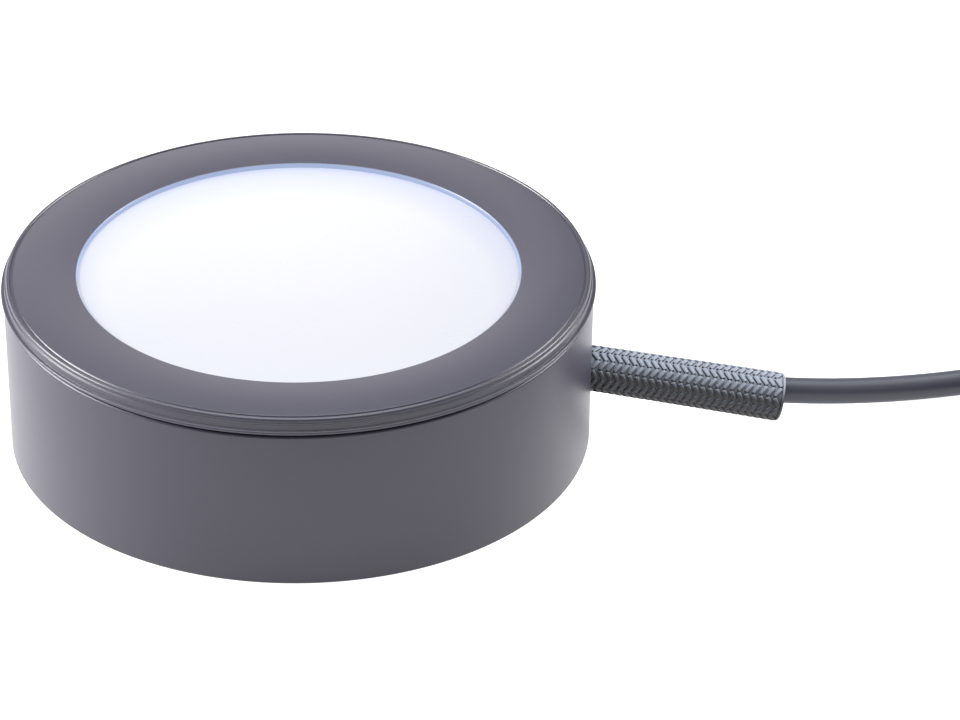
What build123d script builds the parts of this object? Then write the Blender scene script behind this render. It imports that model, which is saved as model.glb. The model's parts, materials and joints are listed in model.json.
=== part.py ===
from build123d import *
import math
import os

# A low, round LED puck light with a braided sleeve where its lead leaves the wall.
# It stands on a table or is screwed under a shelf. Millimetres, +Z up.
# The origin is the centre of its back, and the lead leaves the wall along +X.

# Housing, a cast cup
housing_height = 19.7
wall_draft = 0.25
wall_thickness = 2.0
wall_top_round = 0.3
floor_thickness = 1.8
base_round = 0.5
floor_fillet = 1.0
back_land_width = 10.5
back_recess_depth = 0.4
# The revolved wall starts and ends here, away from the bush, the ledges and the posts
seam_angle_deg = 120.0
mount_wall_gap = 3.5
mount_hole_radius = 2.1
mount_access_radius = 3.0

# Bezel, a turned ring in two tiers: a flat face with a rounded edge, then a cove down to a lip
seam_gap = 0.35
bezel_thickness = 1.75
flange_radius = 35.0
lip_overhang = 0.25
face_width = 8.9
aperture_round = 0.15
line_inset = 1.5
line_width = 0.6
line_depth = 0.14
line_round = 0.15
edge_inset = 0.5
edge_round = 0.35
neck_inset = 0.65
neck_drop = 0.55
neck_round = 0.1
cove_inset = 0.4
cove_drop = 1.05
cove_round = 0.3
lip_height = 0.4
lip_round = 0.12

# Twist lock between the bezel's skirt and the housing
lock_stations = 3
lock_start_deg = 62.0
lug_deg = 12.0
twist_deg = 15.0
stop_deg = 2.5
turn_clearance_deg = 0.4
ledge_overhang_deg = 0.5
ledge_reach = 1.7
ledge_thickness = 1.4
lug_height = 1.0
lock_clearance = 0.25
running_clearance = 0.3
skirt_bush_gap = 1.75
skirt_wall = 1.1

# Lens, its gasket and the ring that holds it
lens_clearance = 0.15
lens_recess = 0.4
lens_edge_round = 0.25
lens_flange_thickness = 1.2
gasket_thickness = 0.45
gasket_inset = 0.4
retainer_thickness = 1.2
retainer_width = 2.6
retainer_clearance = 0.1
nib_height = 0.5
nib_reach = 0.5
nib_deg = 10.0

# Reflector dish
reflector_share = 0.64
reflector_wall = 0.9
reflector_slant_wall = 0.3
reflector_slope_width = 10.0
reflector_foot_width = 2.1
reflector_mouth_inset = 2.2
rim_clearance = 0.4
well_radius = 2.2
well_wall = 0.7
well_floor = 0.8

# LED board, thermal pad and heat sink
led_board_gap = 7.7
led_board_thickness = 1.2
led_board_hole_radius = 2.4
thermal_pad_margin = 5.8
thermal_pad_thickness = 0.3
heat_sink_rim = 0.2
heat_sink_thickness = 1.5
# Each ring of LEDs by its count and its share of the reflector floor's radius
led_rings = ((12, 0.784), (6, 0.411))
led_length = 3.5
led_width = 2.8
led_height = 0.7
led_window_radius = 1.1
led_window_depth = 0.2

# Screws that hold the stack on three posts of the housing
stack_screws = 3
stack_screw_start_deg = 30.0
stack_screw_margin = 2.6
stack_post_radius = 2.3
stack_screw_grip = 4.5
screw_shank_radius = 1.0
screw_head_radius = 1.9
screw_head_height = 1.2
screw_head_round = 0.4
screw_hole_clearance = 0.15
pilot_clearance = 0.05
recess_length = 2.2
recess_width = 0.5
recess_depth = 0.6

# Driver board and what it carries, placed by shares of the board's radius
driver_board_gap = 0.7
driver_board_thickness = 1.2
driver_standoff = 2.4
driver_post_radius = 2.2
driver_screw_margin = 3.4
driver_screw_grip = 2.0
inductor_size = (6.6, 6.6, 2.6)
inductor_chamfer = 1.3
inductor_place = (-0.42, 0.40)
capacitor_radius = 2.5
capacitor_height = 2.7
capacitor_base = (5.4, 5.4, 0.7)
capacitor_place = (-0.50, -0.34)
rectifier_size = (4.7, 3.9, 1.9)
rectifier_place = (0.34, 0.52)
driver_chip_size = (4.9, 3.9, 1.5)
driver_chip_place = (0.27, -0.45)
chip_part_size = (2.0, 1.25, 0.6)
chip_part_places = ((-0.02, 0.36), (-0.02, 0.50), (-0.13, -0.34), (-0.13, -0.50), (0.55, -0.50), (-0.76, 0.0))
terminal_size = (6.4, 7.4, 2.9)
terminal_margin = 6.6
terminal_mouth_radius = 0.75
terminal_mouth_depth = 2.4
terminal_pitch = 3.5

# Wires between the two boards
wire_radius = 0.5
wire_offset = 1.2
wire_landing = 3.0
wire_rise = 1.6
wire_bend = 0.9

# Lead and how it is held
cord_diameter = 3.15
bend_share = 0.45
cord_axis_height = 7.8
cord_end_length = 2.2
core_radius = 0.6
core_offset = 0.72
clamp_wall_gap = 4.9
clamp_width = 3.0
clamp_corner_round = 1.0
clamp_thickness = 2.6
clamp_lift = 0.6
clamp_screw_offset = 5.2
clamp_end_margin = 1.9
clamp_post_radius = 1.9
clamp_screw_grip = 3.0
clamp_clearance = 0.05
saddle_width = 6.2

# Bush and braided sleeve
bush_radius = 3.35
bush_flange_radius = 4.3
bush_flange_thickness = 1.1
bush_clearance = 0.05
bush_setback = 0.3
bush_boss_radius = 5.0
bush_boss_length = 1.6
sleeve_bush_clearance = 0.15
sleeve_knee_setback = 0.7
sleeve_droop_deg = 11.0
sleeve_bend_radius = 8.0
sleeve_bend_end = 1.0
sleeve_stub_inset = 0.05
sleeve_length = 22.9
sleeve_root_radius = 2.7
sleeve_mouth_radius = 2.9
sleeve_bore_clearance = 0.28
sleeve_mouth_bore_radius = 2.45
sleeve_flare_length = 9.5
sleeve_rim_length = 1.1
sleeve_rim_round = 0.35

# Braid ridges: columns run along the sleeve, and their strands slant in turn to either side
braid_columns = 12
braid_pitch = 0.89
braid_slant_deg = 32.0
braid_ridge_height = 0.18
braid_strand_width = 0.5
braid_strand_share = 0.87
braid_start = 0.6
braid_end_margin = 0.5

# The lead's way from the sleeve's knee to the coil: along, sideways and up from the table
lead_way = (
    (13.45, 0.0, 5.2),
    (25.95, 0.6, 3.55),
    (37.45, 3.1, 2.15),
    (48.95, 6.1, 1.6),
    (59.45, 8.9, 1.8),
    (69.45, 10.8, 2.0),
)

# Coil of the put-away length, and the plug that lies on it
coil_entry_deg = 100.0
coil_mean_radius = 18.0
coil_rows = 4
coil_layers = 4
turn_step = 3.2
coil_lift = 0.4
tail_start_deg = 216.0
tail_step_deg = 28.0
tail_rises = (0.0, 0.6, 2.4, 4.6)
tie_thickness = 0.3
tie_clearance = 0.05
tie_angle_deg = -65.0
tie_width = 4.0
plug_radius = 4.7
plug_length = 14.0
plug_round = 1.0
plug_groove_depth = 0.35
plug_groove_width = 0.9
plug_grooves = 4
relief_length = 8.0
relief_tail_radius = 2.3
relief_root_radius = 3.4
relief_round = 0.3
plug_rest_gap = 0.05
plug_offset_x = 4.5
barrel_radius = 2.75
barrel_wall = 0.4
barrel_length = 9.5
barrel_seat = 3.0
contact_radius = 1.4
contact_bore_radius = 1.05
contact_setback = 0.5
contact_clearance = 0.02

# Radii worked out from the flange inwards
cord_radius = cord_diameter / 2
wall_top_radius = flange_radius - lip_overhang
wall_base_radius = wall_top_radius - wall_draft
cavity_radius = wall_base_radius - wall_thickness
back_recess_radius = wall_base_radius - back_land_width
mount_spacing = 2 * (cavity_radius - mount_wall_gap)
aperture_radius = flange_radius - face_width
ledge_radius = cavity_radius - ledge_reach
skirt_radius = ledge_radius - running_clearance
skirt_inner_radius = skirt_radius - skirt_wall
lug_radius = cavity_radius - running_clearance
lens_flange_radius = skirt_inner_radius - running_clearance
reflector_radius = skirt_inner_radius - nib_reach - rim_clearance
reflector_floor_radius = reflector_radius - reflector_slope_width
led_board_radius = cavity_radius - led_board_gap
heat_sink_radius = led_board_radius + heat_sink_rim
thermal_pad_radius = led_board_radius - thermal_pad_margin
stack_screw_circle = led_board_radius - stack_screw_margin
driver_board_radius = stack_screw_circle - stack_post_radius - driver_board_gap
driver_screw_offset = driver_board_radius - driver_screw_margin
terminal_x = driver_board_radius - terminal_margin
clamp_x = cavity_radius - clamp_wall_gap
cord_end_x = clamp_x - cord_end_length
bush_face_x = cavity_radius - bush_boss_length
sleeve_knee_x = wall_top_radius - sleeve_knee_setback

# Heights worked out from the table up and from the bezel down
bezel_bottom = housing_height + seam_gap
light_height = bezel_bottom + bezel_thickness
skirt_bottom = cord_axis_height + bush_flange_radius + skirt_bush_gap
ledge_bottom = skirt_bottom + lug_height + lock_clearance
lens_top = light_height - lens_recess
lens_flange_top = bezel_bottom - gasket_thickness
lens_bottom = lens_flange_top - lens_flange_thickness
retainer_bottom = lens_bottom - retainer_thickness
nib_bottom = retainer_bottom - nib_height
reflector_top = nib_bottom - rim_clearance
driver_board_bottom = floor_thickness + driver_standoff
driver_board_top = driver_board_bottom + driver_board_thickness
plates = led_board_thickness + thermal_pad_thickness + heat_sink_thickness
stack_room = reflector_top - driver_board_top - terminal_size[2] - plates
led_board_top = reflector_top - stack_room * reflector_share
led_board_bottom = led_board_top - led_board_thickness
heat_sink_top = led_board_bottom - thermal_pad_thickness
heat_sink_bottom = heat_sink_top - heat_sink_thickness
clamp_bottom = cord_axis_height + clamp_lift
clamp_top = clamp_bottom + clamp_thickness

# Coil and plug
coil_outer_row_radius = coil_mean_radius + (coil_rows - 1) * turn_step / 2
coil_centre = (
    sleeve_knee_x + lead_way[-1][0] - coil_outer_row_radius * math.cos(math.radians(coil_entry_deg)),
    lead_way[-1][1] - coil_outer_row_radius * math.sin(math.radians(coil_entry_deg)),
)
coil_width = coil_rows * turn_step
coil_height = coil_layers * turn_step
coil_top = coil_lift + coil_height
coil_end_row_radius = coil_mean_radius + turn_step / 2
plug_axis_height = coil_top + plug_radius + plug_rest_gap
droop = math.radians(sleeve_droop_deg)
STANDING = (Align.CENTER, Align.CENTER, Align.MIN)


def round_about(radius, count, start_deg):
    """Places (x, y, angle) spread evenly on a circle."""
    angles = [start_deg + i * 360 / count for i in range(count)]
    return [(radius * math.cos(math.radians(a)), radius * math.sin(math.radians(a)), a) for a in angles]


stack_places = round_about(stack_screw_circle, stack_screws, stack_screw_start_deg)
lock_angles = [angle for *_, angle in round_about(1.0, lock_stations, lock_start_deg)]
mount_places = [(0, -mount_spacing / 2), (0, mount_spacing / 2)]
driver_screw_places = [(0, -driver_screw_offset), (0, driver_screw_offset)]
clamp_screw_places = [(clamp_x, -clamp_screw_offset), (clamp_x, clamp_screw_offset)]


def disc(radius, bottom, top, x=0, y=0):
    """An upright cylinder between two heights."""
    return Pos(x, y, bottom) * Cylinder(radius, top - bottom, align=STANDING)


def block(length, width, bottom, top, x=0, y=0):
    """An upright box between two heights."""
    return Pos(x, y, bottom) * Box(length, width, top - bottom, align=STANDING)


def rod(radius, start_x, end_x, y=0, z=0):
    """A cylinder along +X."""
    return Pos(start_x, y, z) * Rot(0, 90, 0) * Cylinder(radius, end_x - start_x, align=STANDING)


def turned(*corners, arc=360):
    """A body turned about Z, from (radius, height, rounding) corners."""
    points = [(radius, height) for radius, height, _ in corners]
    roundings = [rounding for *_, rounding in corners]
    outline = FilletPolyline(*points, radius=roundings, close=True)
    return revolve(Plane.XZ * make_face(outline.edges()), Axis.Z, arc)


def sector(inner, outer, bottom, top, middle_deg, span_deg):
    """A piece of a ring, by its middle angle and span."""
    corners = ((inner, bottom, 0), (outer, bottom, 0), (outer, top, 0), (inner, top, 0))
    return Rot(0, 0, middle_deg - span_deg / 2) * turned(*corners, arc=span_deg)


def screw(x, y, seat, depth):
    """A pan-head screw with a cross recess, its head standing on the seat."""
    head = disc(screw_head_radius, seat, seat + screw_head_height, x, y)
    head = fillet(head.edges().group_by(Axis.Z)[-1], screw_head_round)
    floor = seat + screw_head_height - recess_depth
    above = seat + screw_head_height
    for turn in (0, 90):
        arm = block(recess_length, recess_width, floor, above)
        head -= Pos(x, y, 0) * Rot(0, 0, turn) * arm
    return head + disc(screw_shank_radius, seat - depth, seat, x, y)


def tube(points, radius):
    """A round cord along straight runs joined by the largest tangent arcs that fit."""
    bends = []
    for before, here, after in zip(points, points[1:], points[2:]):
        run_in = Vector(*here) - Vector(*before)
        run_out = Vector(*after) - Vector(*here)
        half_turn = math.radians(run_in.get_angle(run_out)) / 2
        bends.append(bend_share * min(run_in.length, run_out.length) / math.tan(half_turn))
    path = FilletPolyline(*points, radius=bends)
    start = Plane(origin=path @ 0, z_dir=path % 0)
    cord = sweep(start * Circle(radius), path=path)
    print("  bend radii:", ", ".join(f"{bend:.1f}" for bend in bends))
    print(f"  volume {cord.volume:.1f}, section by length {math.pi * radius**2 * path.length:.1f}")
    return cord


def make_housing():
    """The cast cup, with its ledges, stops, posts, bush boss and lead saddle."""
    cup = turned(
        (0, back_recess_depth, 0),
        (back_recess_radius, back_recess_depth, 0),
        (back_recess_radius, 0, 0),
        (wall_base_radius, 0, base_round),
        (wall_top_radius, housing_height, wall_top_round),
        (cavity_radius, housing_height, 0),
        (cavity_radius, floor_thickness, floor_fillet),
        (0, floor_thickness, 0),
    )
    cup = Rot(0, 0, seam_angle_deg) * cup
    root = floor_thickness - (floor_thickness - back_recess_depth) / 2
    into_wall = cavity_radius + wall_thickness / 2
    ledge_top = ledge_bottom + ledge_thickness
    beside = lug_deg / 2 + turn_clearance_deg + stop_deg / 2
    ledge_deg = beside + lug_deg / 2 + ledge_overhang_deg
    for angle in lock_angles:
        for stop in (angle - beside, angle + twist_deg + beside):
            cup += sector(ledge_radius, into_wall, skirt_bottom, ledge_top, stop, stop_deg)
        middle = angle - beside + ledge_deg / 2
        cup += sector(ledge_radius, into_wall, ledge_bottom, ledge_top, middle, ledge_deg)
    for x, y, _ in stack_places:
        cup += disc(stack_post_radius, root, heat_sink_bottom, x, y)
        floor = heat_sink_bottom - stack_screw_grip
        cup -= disc(screw_shank_radius + pilot_clearance, floor, heat_sink_bottom, x, y)
    for x, y in driver_screw_places:
        cup += disc(driver_post_radius, root, driver_board_bottom, x, y)
        floor = driver_board_bottom - driver_screw_grip
        cup -= disc(screw_shank_radius + pilot_clearance, floor, driver_board_bottom, x, y)
    for x, y in clamp_screw_places:
        cup += disc(clamp_post_radius, root, clamp_bottom, x, y)
        floor = clamp_bottom - clamp_screw_grip
        cup -= disc(screw_shank_radius + pilot_clearance, floor, clamp_bottom, x, y)
    cup += block(clamp_width, saddle_width, root, cord_axis_height, clamp_x)
    reach = clamp_x - clamp_width, clamp_x + clamp_width
    cup -= rod(cord_radius + clamp_clearance, *reach, z=cord_axis_height)
    cup += rod(bush_boss_radius, bush_face_x, into_wall, z=cord_axis_height)
    cup -= rod(bush_radius + bush_clearance, clamp_x + clamp_width, flange_radius, z=cord_axis_height)
    for x, y in mount_places:
        cup -= disc(mount_hole_radius, 0, floor_thickness, x, y)
    return cup


def make_bezel():
    """The turned ring: face, cove and lip outside, skirt, lugs and nibs inside."""
    line_radius = flange_radius - line_inset
    ring = turned(
        (aperture_radius, bezel_bottom, 0),
        (aperture_radius, light_height, aperture_round),
        (line_radius - line_width / 2, light_height, line_round),
        (line_radius, light_height - line_depth, line_round),
        (line_radius + line_width / 2, light_height, line_round),
        (flange_radius - edge_inset, light_height, edge_round),
        (flange_radius - neck_inset, light_height - neck_drop, neck_round),
        (flange_radius - cove_inset, light_height - cove_drop, cove_round),
        (flange_radius, bezel_bottom + lip_height, lip_round),
        (flange_radius, bezel_bottom, lip_round),
        (skirt_radius, bezel_bottom, 0),
        (skirt_radius, skirt_bottom, 0),
        (skirt_inner_radius, skirt_bottom, 0),
        (skirt_inner_radius, bezel_bottom, 0),
    )
    in_skirt = skirt_radius - skirt_wall / 2
    for angle in lock_angles:
        ring += sector(in_skirt, lug_radius, skirt_bottom, skirt_bottom + lug_height, angle, lug_deg)
        inner = skirt_inner_radius - nib_reach
        ring += sector(inner, in_skirt, nib_bottom, retainer_bottom, angle, nib_deg)
    return ring


def make_lens():
    """The opal disc: a raised face in the bezel's aperture and a flange under its lip."""
    face_radius = aperture_radius - lens_clearance
    return turned(
        (0, lens_bottom, 0),
        (lens_flange_radius, lens_bottom, 0),
        (lens_flange_radius, lens_flange_top, 0),
        (face_radius, lens_flange_top, 0),
        (face_radius, lens_top, lens_edge_round),
        (0, lens_top, 0),
    )


def make_gasket():
    """The flat rubber ring between the lens flange and the bezel."""
    inner = aperture_radius + gasket_inset
    return disc(lens_flange_radius, lens_flange_top, bezel_bottom) - disc(inner, 0, light_height)


def make_retainer():
    """The ring that holds the lens, sitting on the skirt's nibs."""
    outer = skirt_inner_radius - retainer_clearance
    return disc(outer, retainer_bottom, lens_bottom) - disc(outer - retainer_width, 0, light_height)


def make_reflector():
    """The moulded dish, with three screw wells and two notches over the mounting screws."""
    foot = reflector_floor_radius + reflector_foot_width
    mouth = reflector_radius - reflector_mouth_inset
    rim_bottom = reflector_top - reflector_wall
    dish = turned(
        (reflector_floor_radius, led_board_top, 0),
        (foot, led_board_top, 0),
        (mouth + reflector_slant_wall, rim_bottom, 0),
        (reflector_radius, rim_bottom, 0),
        (reflector_radius, reflector_top, 0),
        (mouth, reflector_top, 0),
    )
    well_bottom = led_board_top + well_floor
    for x, y, _ in stack_places:
        dish += disc(well_radius + well_wall, led_board_top, well_bottom, x, y)
        dish -= disc(well_radius, well_bottom, light_height, x, y)
        dish -= disc(screw_shank_radius + screw_hole_clearance, 0, light_height, x, y)
    for x, y in mount_places:
        dish -= disc(mount_access_radius, 0, light_height, x, y)
    return dish


def plate_with_holes(radius, bottom, top):
    """A round plate of the stack, with its screw holes and the hole for the wires."""
    plate = disc(radius, bottom, top) - disc(led_board_hole_radius, bottom, top)
    for x, y, _ in stack_places:
        plate -= disc(screw_shank_radius + screw_hole_clearance, bottom, top, x, y)
    return plate


def make_thermal_pad():
    """The soft pad between the LED board and the heat sink."""
    pad = disc(thermal_pad_radius, heat_sink_top, led_board_bottom)
    return pad - disc(led_board_hole_radius, heat_sink_top, led_board_bottom)


def make_led_chips():
    """The LED packages in two rings, each with its round phosphor window."""
    chips = []
    for count, share in led_rings:
        for x, y, angle in round_about(reflector_floor_radius * share, count, 180 / count):
            chip = block(led_length, led_width, 0, led_height)
            chip -= disc(led_window_radius, led_height - led_window_depth, led_height)
            chips.append(Pos(x, y, led_board_top) * Rot(0, 0, angle) * chip)
    return Compound(chips)


def make_driver_board():
    """The round driver board, with its two screw holes."""
    board = disc(driver_board_radius, driver_board_bottom, driver_board_top)
    for x, y in driver_screw_places:
        board -= disc(screw_shank_radius + screw_hole_clearance, 0, light_height, x, y)
    return board


def on_board(size, place):
    """A block of (length, width, height) standing on the driver board, by shares of its radius."""
    length, width, height = size
    x, y = place[0] * driver_board_radius, place[1] * driver_board_radius
    return block(length, width, driver_board_top, driver_board_top + height, x, y)


def make_inductor():
    """The shielded inductor, a block with chamfered corners."""
    body = on_board(inductor_size, inductor_place)
    return chamfer(body.edges().filter_by(Axis.Z), inductor_chamfer)


def make_capacitor():
    """The can capacitor on its square base."""
    base_top = driver_board_top + capacitor_base[2]
    x, y = capacitor_place[0] * driver_board_radius, capacitor_place[1] * driver_board_radius
    can = disc(capacitor_radius, base_top, driver_board_top + capacitor_height, x, y)
    return on_board(capacitor_base, capacitor_place) + can


def make_chip_parts():
    """The small resistors and capacitors, as separate solids of one node."""
    return Compound([on_board(chip_part_size, place) for place in chip_part_places])


def make_terminal():
    """The two-pole terminal, its mouths facing the lead."""
    length, width, tall = terminal_size
    body = block(length, width, driver_board_top, driver_board_top + tall, terminal_x)
    face = terminal_x + length / 2
    height = driver_board_top + tall / 2
    for side in (-1, 1):
        y = side * terminal_pitch / 2
        body -= rod(terminal_mouth_radius, face - terminal_mouth_depth, face, y, height)
    return body


def board_wire(side):
    """A wire from the driver board up through the stack, bent over onto the LED board."""
    top = led_board_top + wire_rise
    near = side * wire_offset
    far = side * (wire_offset + wire_landing)
    points = [(near, 0, driver_board_top), (near, 0, top), (far, 0, top), (far, 0, led_board_top)]
    path = FilletPolyline(*points, radius=wire_bend)
    return sweep(Plane(origin=path @ 0, z_dir=path % 0) * Circle(wire_radius), path=path)


def cord_core(side):
    """One core of the lead, from its cut end into the terminal."""
    mouth = terminal_x + terminal_size[0] / 2 - terminal_mouth_depth
    height = driver_board_top + terminal_size[2] / 2
    away = (cord_end_x - mouth) / 3
    near_y, far_y = side * core_offset, side * terminal_pitch / 2
    points = [
        (cord_end_x, near_y, cord_axis_height),
        (cord_end_x - away, near_y, cord_axis_height),
        (mouth + away, far_y, height),
        (mouth, far_y, height),
    ]
    print("cord core")
    return tube(points, core_radius)


def make_clamp():
    """The bar that presses the lead into its saddle."""
    length = 2 * (clamp_screw_offset + clamp_end_margin)
    bar = block(clamp_width, length, clamp_bottom, clamp_top, clamp_x)
    bar = fillet(bar.edges().filter_by(Axis.Z), clamp_corner_round)
    reach = clamp_x - clamp_width, clamp_x + clamp_width
    bar -= rod(cord_radius + clamp_clearance, *reach, z=cord_axis_height)
    for x, y in clamp_screw_places:
        bar -= disc(screw_shank_radius + screw_hole_clearance, 0, light_height, x, y)
    return bar


def make_bush():
    """The rubber bush in the wall, its flange against the boss inside."""
    flange_x = bush_face_x - bush_flange_thickness
    outside = wall_base_radius - bush_setback
    bush = rod(bush_radius, bush_face_x, outside, z=cord_axis_height)
    bush += rod(bush_flange_radius, flange_x, bush_face_x, z=cord_axis_height)
    bore = sleeve_root_radius + sleeve_bush_clearance
    return bush - rod(bore, flange_x, flange_radius, z=cord_axis_height)


def make_sleeve():
    """The sleeve: a bent stub in the bush, then a faceted tube with ridges, a rim and a flare."""
    root = sleeve_root_radius - braid_ridge_height
    mouth = sleeve_mouth_radius - braid_ridge_height
    bore = cord_radius + sleeve_bore_clearance
    turn = 180 / braid_columns
    foot = RegularPolygon(root, braid_columns, major_radius=False, rotation=turn)
    head = Pos(0, 0, sleeve_length) * RegularPolygon(mouth, braid_columns, major_radius=False, rotation=turn)
    hose = loft([foot.face(), head.face()])
    braided = sleeve_length - sleeve_rim_length - braid_end_margin - braid_start
    strand = 2 * root * math.tan(math.radians(turn)) * braid_strand_share
    ridges = []
    for column in range(braid_columns):
        slant = braid_slant_deg if column % 2 else -braid_slant_deg
        for row in range(int(braided / braid_pitch) + 1):
            along = braid_start + row * braid_pitch
            out = root + (mouth - root) * along / sleeve_length
            ridge = Box(2 * braid_ridge_height, strand, braid_strand_width)
            ridges.append(Rot(0, 0, column * 2 * turn) * Pos(out, 0, along) * Rot(slant, 0, 0) * ridge)
    hose = hose.fuse(*ridges)
    rim_start = sleeve_length - sleeve_rim_length
    hose += turned(
        (bore, rim_start, 0),
        (sleeve_mouth_radius, rim_start, 0),
        (sleeve_mouth_radius, sleeve_length, sleeve_rim_round),
        (bore, sleeve_length, 0),
    )
    flare = Cone(bore, sleeve_mouth_bore_radius, sleeve_flare_length, align=STANDING)
    hose -= disc(bore, -bore, sleeve_length)
    hose -= Pos(0, 0, sleeve_length - sleeve_flare_length) * flare
    down = Vector(math.cos(droop), 0, -math.sin(droop))
    knee = Vector(sleeve_knee_x, 0, cord_axis_height)
    join = knee + down * sleeve_bend_end
    inner_end = (bush_face_x - bush_flange_thickness, 0, cord_axis_height)
    path = FilletPolyline(inner_end, knee, join, radius=sleeve_bend_radius)
    section = Circle(root - sleeve_stub_inset) - Circle(bore)
    stub = sweep(Plane(origin=path @ 0, z_dir=path % 0) * section, path=path)
    return Plane(origin=join, z_dir=down).location * hose + stub


def make_coil():
    """The coil's outer shape, a ring with rounded edges."""
    inner = coil_mean_radius - coil_width / 2
    outer = coil_mean_radius + coil_width / 2
    edge = turn_step / 2
    corners = ((inner, coil_lift), (outer, coil_lift), (outer, coil_top), (inner, coil_top))
    return Pos(*coil_centre, 0) * turned(*[(*corner, edge) for corner in corners])


def make_tie():
    """The flat tie round the coil."""
    inner = coil_mean_radius - coil_width / 2 - tie_clearance
    outer = coil_mean_radius + coil_width / 2 + tie_clearance
    low, high = coil_lift - tie_clearance, coil_top + tie_clearance
    span = math.degrees(tie_width / coil_mean_radius)
    edge = turn_step / 2
    hole = [(inner, low, edge), (outer, low, edge), (outer, high, edge), (inner, high, edge)]
    band = [
        (inner - tie_thickness, low - tie_thickness, edge),
        (outer + tie_thickness, low - tie_thickness, edge),
        (outer + tie_thickness, high + tie_thickness, edge),
        (inner - tie_thickness, high + tie_thickness, edge),
    ]
    tie = turned(*band, arc=span) - turned(*hole, arc=span)
    return Pos(*coil_centre, 0) * Rot(0, 0, tie_angle_deg) * tie


# The lead's route: level through the bush, down the sleeve, out of the upper part of its
# mouth and along the table to the coil
cord_route = [(cord_end_x, 0, cord_axis_height), (sleeve_knee_x, 0, cord_axis_height)]
cord_route += [(sleeve_knee_x + along, sideways, height) for along, sideways, height in lead_way]

# The last half turn: it leaves the coil's top layer and climbs to the plug's axis
tail_heights = [coil_top - turn_step / 2 + rise for rise in tail_rises] + [plug_axis_height]
tail_places = [(tail_start_deg - i * tail_step_deg, height) for i, height in enumerate(tail_heights)]
tail_out = coil_end_row_radius / math.cos(math.radians(tail_step_deg / 2))
tail_route = [
    (
        coil_centre[0] + tail_out * math.cos(math.radians(angle)),
        coil_centre[1] + tail_out * math.sin(math.radians(angle)),
        height,
    )
    for angle, height in tail_places
]
plug_start_x = coil_centre[0] + plug_offset_x
plug_y = coil_centre[1] + coil_end_row_radius
tail_route.append((plug_start_x, plug_y, plug_axis_height))


def laid(body):
    """A plug piece made along +Z from the lead's end, laid along +X on the coil."""
    return Pos(plug_start_x, plug_y, plug_axis_height) * Rot(0, 90, 0) * body


def pipe(outer, inner, bottom, top):
    """A round pipe about Z."""
    return disc(outer, bottom, top) - disc(inner, bottom, top)


plug_front = relief_length + plug_length
barrel_floor = plug_front - barrel_seat


def make_plug_body():
    """The moulded grip with finger grooves, its strain relief and the barrel's seat."""
    body = turned(
        (0, 0, 0),
        (relief_tail_radius, 0, relief_round),
        (relief_root_radius, relief_length, 0),
        (plug_radius, relief_length, plug_round),
        (plug_radius, plug_front, plug_round),
        (0, plug_front, 0),
    )
    spacing = plug_length / (plug_grooves + 2)
    for i in range(plug_grooves):
        middle = relief_length + (i + 1.5) * spacing
        low, high = middle - plug_groove_width / 2, middle + plug_groove_width / 2
        body -= pipe(plug_radius + plug_groove_depth, plug_radius - plug_groove_depth, low, high)
    return laid(body - disc(barrel_radius + contact_clearance, barrel_floor, plug_front))


def make_plug_barrel():
    """The plug's outer contact."""
    top = plug_front + barrel_length
    return laid(pipe(barrel_radius, barrel_radius - barrel_wall, barrel_floor, top))


def make_plug_insulator():
    """The insulator between the plug's two contacts."""
    outer = barrel_radius - barrel_wall - contact_clearance
    top = plug_front + barrel_length - contact_setback
    return laid(pipe(outer, contact_radius + contact_clearance, barrel_floor, top))


def make_plug_socket():
    """The plug's inner contact."""
    top = plug_front + barrel_length - 2 * contact_setback
    return laid(pipe(contact_radius, contact_bore_radius, barrel_floor, top))


stack_seat = led_board_top + well_floor
stack_depth = stack_seat - heat_sink_bottom + stack_screw_grip - 2 * pilot_clearance
driver_depth = driver_board_thickness + driver_screw_grip - 2 * pilot_clearance
clamp_depth = clamp_thickness + clamp_screw_grip - 2 * pilot_clearance

print("power cord")
power_cord = tube(cord_route, cord_radius)
print("cord tail")
cord_tail = tube(tail_route, cord_radius)

pieces = {
    "housing": make_housing(),
    "bezel": make_bezel(),
    "lens": make_lens(),
    "lens_gasket": make_gasket(),
    "lens_retainer": make_retainer(),
    "reflector": make_reflector(),
    "led_board": plate_with_holes(led_board_radius, led_board_bottom, led_board_top),
    "led_chips": make_led_chips(),
    "thermal_pad": make_thermal_pad(),
    "heat_sink": plate_with_holes(heat_sink_radius, heat_sink_bottom, heat_sink_top),
    "led_board_screws": Compound([screw(x, y, stack_seat, stack_depth) for x, y, _ in stack_places]),
    "driver_board": make_driver_board(),
    "driver_board_screws": Compound(
        [screw(x, y, driver_board_top, driver_depth) for x, y in driver_screw_places]
    ),
    "inductor": make_inductor(),
    "smoothing_capacitor": make_capacitor(),
    "bridge_rectifier": on_board(rectifier_size, rectifier_place),
    "driver_chip": on_board(driver_chip_size, driver_chip_place),
    "chip_resistors": make_chip_parts(),
    "input_terminal": make_terminal(),
    "led_supply_wire": board_wire(1),
    "led_return_wire": board_wire(-1),
    "cord_core_supply": cord_core(1),
    "cord_core_return": cord_core(-1),
    "cord_clamp": make_clamp(),
    "clamp_screws": Compound([screw(x, y, clamp_top, clamp_depth) for x, y in clamp_screw_places]),
    "cord_bush": make_bush(),
    "braided_sleeve": make_sleeve(),
    "power_cord": power_cord,
    "cord_coil": make_coil(),
    "cord_tail": cord_tail,
    "coil_tie": make_tie(),
    "plug_body": make_plug_body(),
    "plug_barrel": make_plug_barrel(),
    "plug_insulator": make_plug_insulator(),
    "plug_socket": make_plug_socket(),
}

os.makedirs("parts", exist_ok=True)
for name, piece in pieces.items():
    export_step(piece, f"parts/{name}.step")
print(len(pieces), "pieces written")
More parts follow.
